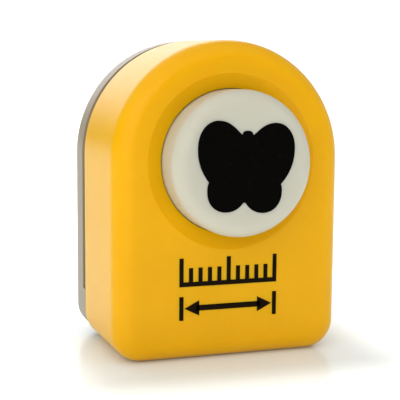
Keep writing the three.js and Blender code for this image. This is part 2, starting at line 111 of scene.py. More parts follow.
class ShaderDesk:
    """Adds and wires the nodes of one material or world."""

    def __init__(self, tree: bpy.types.NodeTree) -> None:
        """Starts from an empty tree.

        Args:
            tree: the node tree to fill.
        """
        self.tree = tree
        tree.nodes.clear()

    def add(self, kind: str, settings: dict | None = None, **values: object) -> bpy.types.Node:
        """Adds a node.

        Args:
            kind: the node's type name.
            settings: attributes of the node itself.
            values: values of its input sockets, with spaces written as underscores.

        Returns:
            The new node.
        """
        node = self.tree.nodes.new(kind)
        for name, value in (settings or {}).items():
            setattr(node, name, value)
        for name, value in values.items():
            node.inputs[name.replace("_", " ")].default_value = value
        return node

    def wire(self, source: bpy.types.NodeSocket, target: bpy.types.NodeSocket) -> None:
        """Joins one socket to another."""
        self.tree.links.new(source, target)

    def noise(self, where: bpy.types.NodeSocket, scale: float, detail: float = 2.0) -> bpy.types.NodeSocket:
        """Adds a noise texture.

        Args:
            where: the coordinate it is read at, in metres.
            scale: how many grains there are in a metre.
            detail: how many finer layers it has.

        Returns:
            Its value, about 0 to 1.
        """
        node = self.add("ShaderNodeTexNoise", Scale=scale, Detail=detail)
        self.wire(where, node.inputs["Vector"])
        return node.outputs["Fac"]

    def spread(self, value: bpy.types.NodeSocket, low: float, high: float) -> bpy.types.NodeSocket:
        """Maps the middle of a noise, 0.3 to 0.7, onto low to high.

        Args:
            value: the noise.
            low: result at 0.3.
            high: result at 0.7.

        Returns:
            The mapped value.
        """
        node = self.add("ShaderNodeMapRange", From_Min=0.3, From_Max=0.7, To_Min=low, To_Max=high)
        self.wire(value, node.inputs["Value"])
        return node.outputs["Result"]

    def blend(self, amount: bpy.types.NodeSocket, first: Colour, second: Colour) -> bpy.types.NodeSocket:
        """Mixes two colours.

        Args:
            amount: 0 for the first colour, 1 for the second.
            first: linear colour.
            second: linear colour.

        Returns:
            The mixed colour.
        """
        node = self.add("ShaderNodeMix", {"data_type": "RGBA"})
        node.inputs["A"].default_value = (*first, 1)
        node.inputs["B"].default_value = (*second, 1)
        self.wire(amount, node.inputs["Factor"])
        return node.outputs["Result"]

    def bump(
        self,
        height: bpy.types.NodeSocket,
        strength: float,
        depth: float,
        below: bpy.types.NodeSocket | None = None,
    ) -> bpy.types.NodeSocket:
        """Roughens the surface with a texture.

        Args:
            height: the texture.
            strength: how much of the depth is used.
            depth: height of the relief, in metres.
            below: the normal of a coarser relief under it, if any.

        Returns:
            The new normal.
        """
        node = self.add("ShaderNodeBump", Strength=strength, Distance=depth)
        self.wire(height, node.inputs["Height"])
        if below is not None:
            self.wire(below, node.inputs["Normal"])
        return node.outputs["Normal"]

    def surface(self, shader: bpy.types.Node) -> None:
        """Sends a shader to the material's output."""
        self.wire(shader.outputs["BSDF"], self.add("ShaderNodeOutputMaterial").inputs["Surface"])

    def edge(self, radius: float) -> bpy.types.NodeSocket:
        """Finds the rims of a piece, where hands and other pieces rub it.

        Args:
            radius: how far the rim reaches from the edge, in metres.

        Returns:
            About 0 on flats and 1 on sharp edges.
        """
        bevel = self.add("ShaderNodeBevel", {"samples": 4}, Radius=radius)
        geometry = self.add("ShaderNodeNewGeometry")
        dot = self.add("ShaderNodeVectorMath", {"operation": "DOT_PRODUCT"})
        self.wire(bevel.outputs["Normal"], dot.inputs[0])
        self.wire(geometry.outputs["Normal"], dot.inputs[1])
        node = self.add("ShaderNodeMapRange", From_Min=1.0, From_Max=0.8, To_Min=0.0, To_Max=1.0)
        self.wire(dot.outputs["Value"], node.inputs["Value"])
        return node.outputs["Result"]


def blank_material(name: str) -> tuple[bpy.types.Material, ShaderDesk, bpy.types.NodeSocket]:
    """Starts a material.

    Args:
        name: its name.

    Returns:
        The material, its shader desk and the place on the piece, in metres.
    """
    material = bpy.data.materials.new(name)
    material.use_nodes = True
    desk = ShaderDesk(material.node_tree)
    return material, desk, desk.add("ShaderNodeTexCoord").outputs["Object"]


def tinted(colour: Colour, amount: float) -> Colour:
    """Lightens a colour for amounts above 1 and darkens it below.

    Args:
        colour: linear colour.
        amount: factor on each channel.

    Returns:
        The new colour, held within 0 to 1.
    """
    return tuple(min(1.0, channel * amount) for channel in colour)


# ---------------------------------------------------------------------------------------------------
# Finishes
# ---------------------------------------------------------------------------------------------------


@dataclass(frozen=True)
class MouldedPlastic:
    """Satin injection-moulded plastic: even colour, fine spark-eroded grain, rims polished by handling."""

    name: str
    slot: str
    colour: Colour
    roughness: float
    uneven: float = 0.05
    polish: float = 0.08
    blotch: float = 70.0
    drift: float = 0.03
    grain: float = 2600.0
    grain_strength: float = 0.2
    grain_depth: float = 0.008 * MM
    ripple: float = 160.0
    ripple_strength: float = 0.5
    ripple_depth: float = 0.02 * MM
    specular: float = 0.35
    glow: float = 0.0
    glow_depth: float = 1.2 * MM
    glow_spread: Colour = (1.0, 0.5, 0.15)
    rim: float = 0.35 * MM

    def material(self) -> bpy.types.Material:
        """Builds the material.

        Returns:
            The material, ready to be put on a piece.
        """
        material, desk, where = blank_material(self.name)
        shader = desk.add("ShaderNodeBsdfPrincipled", IOR=1.48, Specular_IOR_Level=self.specular)
        shader.inputs["Subsurface Weight"].default_value = self.glow
        shader.inputs["Subsurface Radius"].default_value = self.glow_spread
        shader.inputs["Subsurface Scale"].default_value = self.glow_depth
        blotch = desk.spread(desk.noise(where, self.blotch, 3.0), 0.0, 1.0)
        low, high = tinted(self.colour, 1 - self.drift), tinted(self.colour, 1 + self.drift)
        desk.wire(desk.blend(blotch, low, high), shader.inputs["Base Color"])
        grain = desk.noise(where, self.grain, 3.0)
        rubbed = desk.edge(self.rim)
        polish = desk.add("ShaderNodeMath", {"operation": "MULTIPLY_ADD"})
        polish.inputs[1].default_value = -self.polish
        desk.wire(rubbed, polish.inputs[0])
        satin = desk.spread(grain, self.roughness - self.uneven, self.roughness + self.uneven)
        desk.wire(satin, polish.inputs[2])
        desk.wire(polish.outputs[0], shader.inputs["Roughness"])
        waves = desk.bump(desk.noise(where, self.ripple, 1.0), self.ripple_strength, self.ripple_depth)
        relief = desk.bump(grain, self.grain_strength, self.grain_depth, waves)
        desk.wire(relief, shader.inputs["Normal"])
        desk.surface(shader)
        return material


@dataclass(frozen=True)
class PrintingInk:
    """Pad-printed ink: nearly black, matt, with pinholes and dust that catch the light."""

    name: str
    slot: str
    colour: Colour = (0.001, 0.0008, 0.0006)
    speck: Colour = (0.02, 0.018, 0.016)
    roughness: float = 0.55
    uneven: float = 0.07
    patches: float = 500.0
    dust: float = 3200.0
    dust_from: float = 0.68
    dust_full: float = 0.8
    pinholes: float = 4000.0
    pinhole_strength: float = 0.5
    pinhole_depth: float = 0.008 * MM

    def material(self) -> bpy.types.Material:
        """Builds the material.

        Returns:
            The material, ready to be put on a print.
        """
        material, desk, where = blank_material(self.name)
        shader = desk.add("ShaderNodeBsdfPrincipled", IOR=1.45, Specular_IOR_Level=0.03)
        dust = desk.add(
            "ShaderNodeMapRange", From_Min=self.dust_from, From_Max=self.dust_full, To_Min=0.0, To_Max=1.0
        )
        desk.wire(desk.noise(where, self.dust, 2.0), dust.inputs["Value"])
        desk.wire(desk.blend(dust.outputs["Result"], self.colour, self.speck), shader.inputs["Base Color"])
        patches = desk.noise(where, self.patches)
        matt = desk.spread(patches, self.roughness - self.uneven, self.roughness + self.uneven)
        desk.wire(matt, shader.inputs["Roughness"])
        relief = desk.bump(desk.noise(where, self.pinholes), self.pinhole_strength, self.pinhole_depth)
        desk.wire(relief, shader.inputs["Normal"])
        desk.surface(shader)
        return material


class Lay(Enum):
    """Direction of a metal's fine marks, as the stretch of its noise along X, Y and Z."""

    GROUND_ACROSS = (0.04, 1.0, 1.0)
    DRAWN_ALONG_DEPTH = (1.0, 0.05, 1.0)
    CAST = (1.0, 1.0, 1.0)


@dataclass(frozen=True)
class WorkedMetal:
    """Bare or plated metal: marks of its making, a faint stain, and rims worn bright."""

    name: str
    slot: str
    colour: Colour
    roughness: float
    lay: Lay = Lay.CAST
    marks: float = 3500.0
    mark_strength: float = 0.5
    mark_depth: float = 0.01 * MM
    uneven: float = 0.1
    stains: float = 240.0
    stain: float = 0.18
    rim: float = 0.2 * MM
    wear: float = 1.25

    def material(self) -> bpy.types.Material:
        """Builds the material.

        Returns:
            The material, ready to be put on a piece.
        """
        material, desk, where = blank_material(self.name)
        stretch = desk.add("ShaderNodeMapping", Scale=self.lay.value)
        desk.wire(where, stretch.inputs["Vector"])
        marks = desk.noise(stretch.outputs["Vector"], self.marks, 3.0)
        shader = desk.add("ShaderNodeBsdfPrincipled", Metallic=1.0)
        stain = desk.spread(desk.noise(where, self.stains, 4.0), 0.0, 1.0)
        dull = desk.blend(stain, tinted(self.colour, 1 - self.stain), self.colour)
        worn = desk.add("ShaderNodeMix", {"data_type": "RGBA"})
        worn.inputs["B"].default_value = (*tinted(self.colour, self.wear), 1)
        desk.wire(dull, worn.inputs["A"])
        desk.wire(desk.edge(self.rim), worn.inputs["Factor"])
        desk.wire(worn.outputs["Result"], shader.inputs["Base Color"])
        finish = desk.spread(marks, self.roughness - self.uneven, self.roughness + self.uneven)
        desk.wire(finish, shader.inputs["Roughness"])
        desk.wire(desk.bump(marks, self.mark_strength, self.mark_depth), shader.inputs["Normal"])
        desk.surface(shader)
        return material


COVER_PLASTIC = MouldedPlastic(
    "cover_plastic", "cover_plastic", (0.8, 0.42, 0.0), 0.32, specular=0.17, glow=0.7, glow_depth=2.5 * MM
)
BASE_PLASTIC = MouldedPlastic("base_plastic", "base_plastic", (0.3, 0.25, 0.178), 0.42)
BUTTON_PLASTIC = MouldedPlastic(
    "button_plastic",
    "button_plastic",
    (0.54, 0.53, 0.445),
    0.34,
    glow=0.8,
    glow_depth=3.0 * MM,
    glow_spread=(1.0, 0.9, 0.75),
)
LABEL_INK = PrintingInk("label_ink", "label_black")
GAUGE_INK = PrintingInk("gauge_ink", "label_black", colour=(0.008, 0.005, 0.002))
TOOL_STEEL = WorkedMetal("tool_steel", "tool_steel", (0.6, 0.6, 0.61), 0.28, Lay.GROUND_ACROSS)
PLATE_METAL = WorkedMetal("plate_metal", "plate_metal", (0.45, 0.45, 0.45), 0.45, Lay.CAST, 1800.0)
SCREW_STEEL = WorkedMetal("screw_steel", "screw_steel", (0.5, 0.5, 0.5), 0.32, Lay.CAST, 2400.0)
SPRING_STEEL = WorkedMetal("spring_steel", "spring_steel", (0.62, 0.64, 0.66), 0.25, Lay.DRAWN_ALONG_DEPTH)

_materials: dict[str, bpy.types.Material] = {}


def paint(piece: bpy.types.Object, finish: MouldedPlastic | PrintingInk | WorkedMetal) -> None:
    """Puts a finish on a piece, and makes its material the first time.

    Args:
        piece: a mesh object, either a new piece or a carried-over node.
        finish: the finish to put on it.
    """
    if finish.name not in _materials:
        _materials[finish.name] = finish.material()
    piece.data.materials.clear()
    piece.data.materials.append(_materials[finish.name])


# ---------------------------------------------------------------------------------------------------
# Shapes
# ---------------------------------------------------------------------------------------------------


def link(name: str, mesh: bpy.types.Mesh) -> bpy.types.Object:
    """Puts a mesh into the scene.

    Args:
        name: the piece's name.
        mesh: its mesh, in the part's frame.

    Returns:
        The new object, at the origin.
    """
    piece = bpy.data.objects.new(name, mesh)
    bpy.context.scene.collection.objects.link(piece)
    return piece


def add_skin(shape: bmesh.types.BMesh, rings: Sequence[Ring], wrap: bool = False) -> None:
    """Adds a closed skin over a row of rings with the same number of points.

    Args:
        shape: the mesh in the making.
        rings: the rings, in order along the surface.
        wrap: whether the last ring joins the first; otherwise both ends are capped.
    """
    rows = [[shape.verts.new(point) for point in ring] for ring in rings]
    following = rows[1:] + rows[:1] if wrap else rows[1:]
    for low, high in zip(rows, following):
        count = len(low)
        for i in range(count):
            j = (i + 1) % count
            shape.faces.new((low[i], low[j], high[j], high[i]))
    if not wrap:
        shape.faces.new(rows[0][::-1])
        shape.faces.new(rows[-1])


def close_up(name: str, shape: bmesh.types.BMesh) -> bpy.types.Object:
    """Makes a piece of a mesh that is complete.

    Args:
        name: the piece's name.
        shape: the mesh, which is used up.

    Returns:
        The new object, with its faces turned outwards.
    """
    bmesh.ops.recalc_face_normals(shape, faces=shape.faces)
    mesh = bpy.data.meshes.new(name)
    shape.to_mesh(mesh)
    shape.free()
    return link(name, mesh)


def skin(name: str, rings: Sequence[Ring], wrap: bool = False) -> bpy.types.Object:
    """Makes a piece of one skin.

    Args:
        name: the piece's name.
        rings: the rings, in order along the surface.
        wrap: whether the last ring joins the first; otherwise both ends are capped.

    Returns:
        A closed mesh object.
    """
    shape = bmesh.new()
    add_skin(shape, rings, wrap)
    return close_up(name, shape)


def use(piece: bpy.types.Object, kind: str, **settings: object) -> None:
    """Runs a modifier on a piece and keeps its result.

    Args:
        piece: the object to change.
        kind: the modifier's type name.
        settings: the modifier's attributes.
    """
    modifier = piece.modifiers.new(kind.lower(), kind)
    for name, value in settings.items():
        setattr(modifier, name, value)
    bpy.context.view_layer.update()
    graph = bpy.context.evaluated_depsgraph_get()
    mesh = bpy.data.meshes.new_from_object(piece.evaluated_get(graph))
    piece.modifiers.clear()
    old = piece.data
    piece.data = mesh
    mesh.name = piece.name
    bpy.data.meshes.remove(old)


def cut_away(piece: bpy.types.Object, tools: Iterable[bpy.types.Object]) -> None:
    """Cuts other closed meshes out of a piece and removes them.

    Args:
        piece: the object to cut.
        tools: the shapes to take away.
    """
    for tool in tools:
        use(piece, "BOOLEAN", operation="DIFFERENCE", solver="EXACT", object=tool)
        bpy.data.objects.remove(tool)


def smooth(piece: bpy.types.Object, angle: float = 32.0) -> None:
    """Shades a piece smooth, with edges sharper than an angle kept crisp and flats kept flat.

    Args:
        piece: the object to shade.
        angle: the angle between faces, in degrees.
    """
    piece.data.shade_smooth()
    piece.data.set_sharp_from_angle(angle=math.radians(angle))
    use(piece, "WEIGHTED_NORMAL", mode="FACE_AREA", weight=60, keep_sharp=True)


def circle(radius: float, centre: Vector, directions: Sequence[float]) -> Ring:
    """Points round an axis along Y.

    Args:
        radius: the circle's radius.
        centre: its centre.
        directions: the angle of each point from +X towards +Z, in radians.

    Returns:
        The ring.
    """
    return [centre + Vector((radius * math.cos(a), 0, radius * math.sin(a))) for a in directions]


def even_turn(count: int) -> list[float]:
    """Angles of count points spread evenly round a circle."""
    return [math.tau * i / count for i in range(count)]


def turned(
    name: str,
    profile: Sequence[tuple[float, float]],
    axis: Vector,
    count: int = 96,
    wrap: bool = False,
) -> bpy.types.Object:
    """Turns a profile round an axis along Y.

    Args:
        name: the piece's name.
        profile: (radius, y) pairs; each end is capped unless the profile wraps.
        axis: a point on the axis.
        count: points round the axis.
        wrap: whether the profile's end joins its start.

    Returns:
        A closed mesh object.
    """
    directions = even_turn(count)
    rings = [circle(radius, Vector((axis.x, y, axis.z)), directions) for radius, y in profile]
    return skin(name, rings, wrap)


def rounded(
    corner: tuple[float, float],
    radius: float,
    start: float,
    stop: float,
    steps: int,
) -> list[tuple[float, float]]:
    """Points of an arc in a profile.

    Args:
        corner: the arc's centre.
        radius: its radius.
        start: first angle in degrees, from the first axis towards the second.
        stop: last angle in degrees.
        steps: spans along it.

    Returns:
        The points, both ends included.
    """
    angles = [math.radians(start + (stop - start) * i / steps) for i in range(steps + 1)]
    return [(corner[0] + radius * math.cos(a), corner[1] + radius * math.sin(a)) for a in angles]


@dataclass(frozen=True)
class Tombstone:
    """The body's outline: a half-round arch over straight sides and a flat end with rounded corners."""

    radius: float
    centre: float
    end: float
    corner: float
    step: float = 10.2 * MM
    step_above: float = 0.12 * MM
    least_corner: float = 0.3 * MM
    arch_spans: int = 96
    side_spans: int = 8
    corner_spans: int = 14
    end_spans: int = 12

    def shrunk(self, inset: float) -> Tombstone:
        """The outline moved inwards.

        Args:
            inset: how far.

        Returns:
            An outline with the same number of points.
        """
        corner = max(self.corner - inset, self.least_corner)
        return replace(self, radius=self.radius - inset, end=self.end + inset, corner=corner)

    def points(self) -> list[tuple[float, float]]:
        """The outline from the arch's right foot over the top, down the left side and back.

        Returns:
            (x, z) pairs, the same number for every outline.
        """
        arch = rounded((0, self.centre), self.radius, 0, 180, self.arch_spans)
        low = self.end + self.corner
        drop = self.step + self.step_above - self.centre
        side = [self.centre + drop * i / self.side_spans for i in range(1, self.side_spans + 1)]
        side += [self.step, (self.step + low) / 2]
        half_end = self.radius - self.corner
        left = rounded((-half_end, low), self.corner, 180, 270, self.corner_spans)
        right = rounded((half_end, low), self.corner, 270, 360, self.corner_spans)
        flat = [(half_end * (2 * i / self.end_spans - 1), self.end) for i in range(1, self.end_spans)]
        down = [(-self.radius, z) for z in side]
        up = [(self.radius, z) for z in reversed(side)]
        return arch + down + left + flat + right + up

    def ring(self, y: float) -> Ring:
        """The outline at one depth."""
        return [Vector((x, y, z)) for x, z in self.points()]

    def directions(self) -> list[float]:
        """The angle of each point, seen from the arch's centre."""
        return [math.atan2(z - self.centre, x) for x, z in self.points()]


@dataclass(frozen=True)
class Butterfly:
    """The cut shape: head, two broad upper wings, a waist and two round lower wings."""

    spans: int = 14

    def half(self) -> list[tuple[float, float]]:
        """The right half from the head down to the notch between the lower wings.

        Returns:
            (x, z) pairs in millimetres, about the button's axis.
        """
        curves = [
            ((0, 6.28), (0.6, 6.28), (1.0, 6.0), (1.1, 5.5)),
            ((1.1, 5.5), (2.2, 6.4), (3.4, 7.9), (5.6, 7.9)),
            ((5.6, 7.9), (8, 7.9), (9.525, 5.7), (9.525, 3.1)),
            ((9.525, 3.1), (9.6, 0.9), (8.9, -1.4), (7.1, -3.4)),
            ((7.1, -3.4), (7.4, -4.0), (7.4, -4.6), (7.35, -5.3)),
            ((7.35, -5.3), (7.2, -7.4), (5.7, -8.85), (3.7, -8.85)),
            ((3.7, -8.85), (2.4, -8.85), (1.2, -8.35), (0.35, -7.2)),
            ((0.35, -7.2), (0.25, -7.05), (0.12, -6.98), (0, -6.98)),
        ]
        points = [curves[0][0]]
        for a, b, c, d in curves:
            for i in range(1, self.spans + 1):
                t = i / self.spans
                weights = ((1 - t) ** 3, 3 * t * (1 - t) ** 2, 3 * t * t * (1 - t), t**3)
                points.append(tuple(sum(w * p[k] for w, p in zip(weights, (a, b, c, d))) for k in (0, 1)))
        return points

    def outline(self, centre: Vector, turn: float, shrink: float = 0.0) -> Callable[[float], Ring]:
        """Makes the whole shape.

        Args:
            centre: a point on the button's axis.
            turn: how far it is turned, in degrees, anticlockwise seen from the front.
            shrink: how far the outline is pulled inwards, in metres.

        Returns:
            A function from a depth to the shape's ring there.
        """
        right = self.half()
        left = [(-x, z) for x, z in reversed(right[1:-1])]
        whole = right + left
        spin = Matrix.Rotation(-math.radians(turn), 3, "Y")
        flat = []
        for i, (x, z) in enumerate(whole):
            before, after = whole[i - 1], whole[(i + 1) % len(whole)]
            along = Vector((after[0] - before[0], after[1] - before[1])).normalized()
            inward = Vector((along.y, -along.x)) * shrink / MM
            flat.append(spin @ Vector((x + inward.x, 0, z + inward.y)) * MM)
        return lambda y: [Vector((centre.x + p.x, y, centre.z + p.z)) for p in flat]


# ---------------------------------------------------------------------------------------------------
# The punch
# ---------------------------------------------------------------------------------------------------


@dataclass
class CoverShell:
    """The yellow cover: a drafted shell with a soft front edge and a dished ring round the bore."""

    wall: float = 2.0 * MM
    front_wall: float = 2.2 * MM
    draft: float = 0.5 * MM
    fillet: float = 3.9 * MM
    corner: float = 5.9 * MM
    rim_edge: float = BREAK
    side_rows: int = 8
    inner_round: float = 2 * MM
    inner_cut: float = 0.6 * MM
    dish_radius: float = 16.3 * MM
    dish_depth: float = 1.05 * MM
    dish_lip: float = 0.6 * MM
    dish_border: float = 0.5 * MM
    lip_turn: float = 12.0
    foot_run: float = 0.25 * MM
    foot_rise: float = 0.1 * MM
    bore_radius: float = 13.87 * MM
    bore_edge: float = 0.15 * MM
    collar_radius: float = 15.9 * MM
    collar_depth: float = 5.0 * MM
    low: Vector = field(default_factory=lambda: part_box("cover")[0])
    high: Vector = field(default_factory=lambda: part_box("cover")[1])

    @property
    def arch_centre(self) -> float:
        """Height of the arch's centre, which the bore and the button share."""
        return self.high.z - self.high.x

    def front_outline(self) -> Tombstone:
        """The outline where the front fillet starts."""
        return Tombstone(self.high.x - self.draft, self.arch_centre, 0.0, self.corner)

    def drafted(self, y: float) -> Tombstone:
        """The outside at a depth.

        Args:
            y: the depth, between the fillet and the rim.

        Returns:
            The outline there, a little wider towards the rim, on the same flat end.
        """
        start = self.low.y + self.fillet
        grow = self.draft * (y - start) / (self.high.y - start)
        front = self.front_outline()
        return replace(front, radius=front.radius + grow)

    def outside(self) -> list[Ring]:
        """The outer face of the shell.

        Returns:
            Rings from the rim up the side and over the fillet.
        """
        rim, part = self.high.y, self.rim_edge * 0.3
        rings = [self.drafted(rim).shrunk(self.rim_edge).ring(rim)]
        rings.append(self.drafted(rim).shrunk(part).ring(rim - part))
        start = self.low.y + self.fillet
        top = rim - self.rim_edge
        depths = [top + (start - top) * i / self.side_rows for i in range(self.side_rows + 1)]
        rings += [self.drafted(y).ring(y) for y in depths]
        front = self.front_outline()
        for inset, y in rounded((self.fillet, start), self.fillet, 180, 270, 16)[1:]:
            rings.append(front.shrunk(inset).ring(y))
        rings.append(front.shrunk(self.fillet + BAND).ring(self.low.y))
        return rings

    def bore(self) -> list[Ring]:
        """The dished ring, the bore and its collar.

        Returns:
            Rings from the front face down the dish and the bore, and back up outside the collar.
        """
        front, lip, edge = self.low.y, self.dish_lip, self.bore_edge
        slope = math.degrees(math.atan2(self.dish_depth, self.dish_radius - self.bore_radius))
        profile = [(self.dish_radius + lip + self.dish_border, front)]
        steepest = 270 - slope - self.lip_turn
        profile += rounded((self.dish_radius + lip, front + lip), lip, 270, steepest, 5)
        foot, floor = self.bore_radius + edge, front + self.dish_depth
        profile += [(foot + self.foot_run, floor - self.foot_rise), (foot, floor)]
        profile += rounded((foot, floor + edge), edge, 270, 180, 4)[1:]
        collar = front + self.collar_depth
        profile += [
            (self.bore_radius, collar - BREAK),
            (self.bore_radius + BREAK, collar),
            (self.collar_radius, collar),
            (self.collar_radius, front + self.front_wall),
        ]
        directions = self.front_outline().directions()
        centre = Vector((0, 0, self.arch_centre))
        return [circle(radius, centre + Vector((0, y, 0)), directions) for radius, y in profile]

    def inside(self) -> list[Ring]:
        """The inner face of the shell.

        Returns:
            Rings from the inner roof down the inner wall to the rim.
        """
        roof, rim = self.low.y + self.front_wall, self.high.y
        inner = self.front_outline().shrunk(self.wall)
        rings = [inner.shrunk(self.inner_round).ring(roof)]
        rings.append(inner.shrunk(self.inner_cut).ring(roof + self.inner_cut))
        rings.append(inner.ring(roof + self.inner_round))
        rings.append(self.drafted(rim).shrunk(self.wall).ring(rim - self.rim_edge))
        rings.append(self.drafted(rim).shrunk(self.wall - self.rim_edge).ring(rim))
        return rings

    def build(self) -> bpy.types.Object:
        """Makes the shell.

        Returns:
            The finished cover, riding on the housing.
        """
        cover = skin("cover_shell", self.outside() + self.bore() + self.inside(), wrap=True)
        smooth(cover)
        paint(cover, COVER_PLASTIC)
        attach(cover, HOUSING)
        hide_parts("cover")
        return cover


@dataclass
class BaseShell:
    """The grey base: a plate with a pocket for the die, a chip window and a throat at the flat end."""

    edge: float = 0.7 * MM
    corner: float = 5.0 * MM
    lip: float = 0.15 * MM
    wall: float = 2.05 * MM
    plate: float = 5.7 * MM
    floor: float = 2.6 * MM
    pocket_end: float = 3.05 * MM
    pocket_corner: float = 3.85 * MM
    throat: float = 10.2 * MM
    throat_wall: float = 1.05 * MM
    throat_overlap: float = 0.6 * MM
    tolerance: float = 0.001 * MM
    window_radius: float = 12.5 * MM
    window_bevel: float = 1.2 * MM
    counterbore: tuple[float, float] = (2.7 * MM, 1.5 * MM)
    screw_hole: float = 1.5 * MM
    past: float = 1 * MM
    low: Vector = field(default_factory=lambda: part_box("base")[0])
    high: Vector = field(default_factory=lambda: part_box("base")[1])
    screws: tuple[str, ...] = ("case_screw_left", "case_screw_right", "base_screw_left", "base_screw_right")

    def outline(self) -> Tombstone:
        """The base's outside."""
        return Tombstone(self.high.x, self.high.z - self.high.x, self.low.z, self.corner, self.throat)

    def pocket(self) -> Tombstone:
        """The inside of the wall, round the die.

        Returns:
            The pocket's outline.
        """
        outside = self.outline()
        radius = outside.radius - self.wall
        return replace(outside, radius=radius, end=self.pocket_end, corner=self.pocket_corner)

    def stepped(self, outline: Tombstone, down: float = 0.0) -> Ring:
        """A ring along the top of the wall, which is higher round the throat.

        Args:
            outline: the wall's outline.
            down: how far below the top it runs.

        Returns:
            The ring.
        """
        slot_face, throat_face = self.high.y - self.plate, self.low.y
        ring = []
        for x, z in outline.points():
            top = throat_face if z <= self.throat + self.tolerance else slot_face
            ring.append(Vector((x, top + down, z)))
        return ring

    def body(self) -> bpy.types.Object:
        """The base without its screw holes.

        Returns:
            A closed mesh object.
        """
        back = self.high.y
        outside, pocket = self.outline(), self.pocket()
        rings = [outside.shrunk(self.edge + BAND).ring(back)]
        for inset, y in rounded((self.edge, back - self.edge), self.edge, 90, 180, 6):
            rings.append(outside.shrunk(inset).ring(y))
        rings += [
            self.stepped(outside, self.lip),
            self.stepped(outside.shrunk(self.lip * 0.3), self.lip * 0.3),
            self.stepped(outside.shrunk(self.lip)),
            self.stepped(pocket.shrunk(-self.lip)),
            self.stepped(pocket, self.lip),
            pocket.ring(back - self.floor),
        ]
        centre = Vector((0, 0, outside.centre))
        window = [
            (self.window_radius, back - self.floor),
            (self.window_radius, back - self.window_bevel),
            (self.window_radius + self.window_bevel * 0.9, back - self.window_bevel * 0.1),
            (self.window_radius + self.window_bevel * 1.1, back),
            (self.window_radius + self.window_bevel * 1.4, back),
        ]
        directions = outside.directions()
        rings += [circle(radius, centre + Vector((0, y, 0)), directions) for radius, y in window]
        return skin("base_shell", rings, wrap=True)

    def hole(self, screw: str) -> bpy.types.Object:
        """The stepped hole for one screw.

        Args:
            screw: the node of the screw.

        Returns:
            A shape to cut away.
        """
        low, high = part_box(screw)
        axis = (low + high) / 2
        radius, depth = self.counterbore
        back = self.high.y
        profile = [
            (self.screw_hole, back - self.plate - self.past),
            (self.screw_hole, back - depth),
            (radius, back - depth),
            (radius, back - BREAK),
            (radius + BREAK, back),
            (radius + BREAK, back + self.past),
        ]
        return turned(f"hole_{screw}", profile, axis, count=48)

    def throat_bar(self) -> bpy.types.Object:
        """The wall across the slot that stops the paper.

        Returns:
            The bar, which runs into the base's side walls at both ends.
        """
        half = self.high.x - self.wall + self.throat_overlap
        front, back = self.low.y, self.high.y - self.plate
        ends = (-half, half)
        section = [
            (self.throat - self.throat_wall, back),
            (self.throat - self.throat_wall, front),
            (self.throat - self.lip, front),
            (self.throat, front + self.lip),
            (self.throat, back),
        ]
        rings = [[Vector((x, y, z)) for z, y in section] for x in ends]
        return skin("throat_bar", rings)

    def build(self) -> list[bpy.types.Object]:
        """Makes the base and its throat bar.

        Returns:
            Both pieces, riding on the housing.
        """
        base = self.body()
        cut_away(base, [self.hole(screw) for screw in self.screws])
        bar = self.throat_bar()
        for piece in (base, bar):
            smooth(piece)
            paint(piece, BASE_PLASTIC)
            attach(piece, HOUSING)
        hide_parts("base")
        return [base, bar]


@dataclass
class PushButton:
    """The off-white button and its printed butterfly."""

    face_edge: float = 2.7 * MM
    radius: float = 13.75 * MM
    inner_radius: float = 12.15 * MM
    inner_round: float = 1 * MM
    inner_border: float = 1.5 * MM
    roof: float = 2.0 * MM
    flange: float = 1.5 * MM
    flange_edge: float = 0.15 * MM
    flange_root: float = 0.3 * MM
    skirt_rows: int = 4
    label_turn: float = -2.5
    label_rooted: float = 0.2 * MM
    label_edge: float = 0.04 * MM
    label_proud: float = 0.04 * MM
    low: Vector = field(default_factory=lambda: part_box("button_cap")[0])
    high: Vector = field(default_factory=lambda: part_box("button_cap")[1])

    @property
    def centre(self) -> Vector:
        """A point on the button's axis."""
        return (self.low + self.high) / 2

    def cap(self) -> bpy.types.Object:
        """Makes the cap.

        Returns:
            The cap, riding on the plunger.
        """
        face, skirt = self.low.y, self.high.y
        flange_radius, ledge = self.high.x, skirt - self.flange
        roof, turn = face + self.roof, self.inner_round
        profile = [(self.inner_radius - self.inner_border, roof)]
        profile += rounded((self.inner_radius - turn, roof + turn), turn, 270, 360, 4)
        profile += [
            (self.inner_radius, skirt - BREAK),
            (self.inner_radius + BREAK, skirt),
            (flange_radius - BREAK, skirt),
            (flange_radius, skirt - BREAK),
            (flange_radius, ledge + self.flange_edge),
            (flange_radius - self.flange_edge, ledge),
            (self.radius + self.flange_root, ledge),
            (self.radius, ledge - self.flange_root),
        ]
        shoulder = face + self.face_edge
        foot, rows = ledge - self.flange_root, self.skirt_rows
        profile += [(self.radius, foot + (shoulder - foot) * i / rows) for i in range(1, rows)]
        profile += rounded((self.radius - self.face_edge, shoulder), self.face_edge, 0, -90, 16)
        profile.append((self.radius - self.face_edge - BAND, face))
        cap = turned("push_button", profile, self.centre, count=144)
        smooth(cap)
        paint(cap, BUTTON_PLASTIC)
        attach(cap, PLUNGER)
        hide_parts("button_cap")
        return cap

    def label(self) -> bpy.types.Object:
        """Makes the printed butterfly.

        Returns:
            The print, riding on the plunger.
        """
        face = self.low.y
        shape = Butterfly()
        full = shape.outline(self.centre, self.label_turn)
        soft = shape.outline(self.centre, self.label_turn, self.label_edge)
        rings = [
            full(face + self.label_rooted),
            full(face - self.label_proud * 0.4),
            soft(face - self.label_proud),
        ]
        label = skin("butterfly_print", rings)
        smooth(label, angle=60)
        paint(label, LABEL_INK)
        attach(label, PLUNGER)
        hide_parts("butterfly_label")
        return label

    def build(self) -> list[bpy.types.Object]:
        """Makes the cap and its print, in that order."""
        return [self.cap(), self.label()]


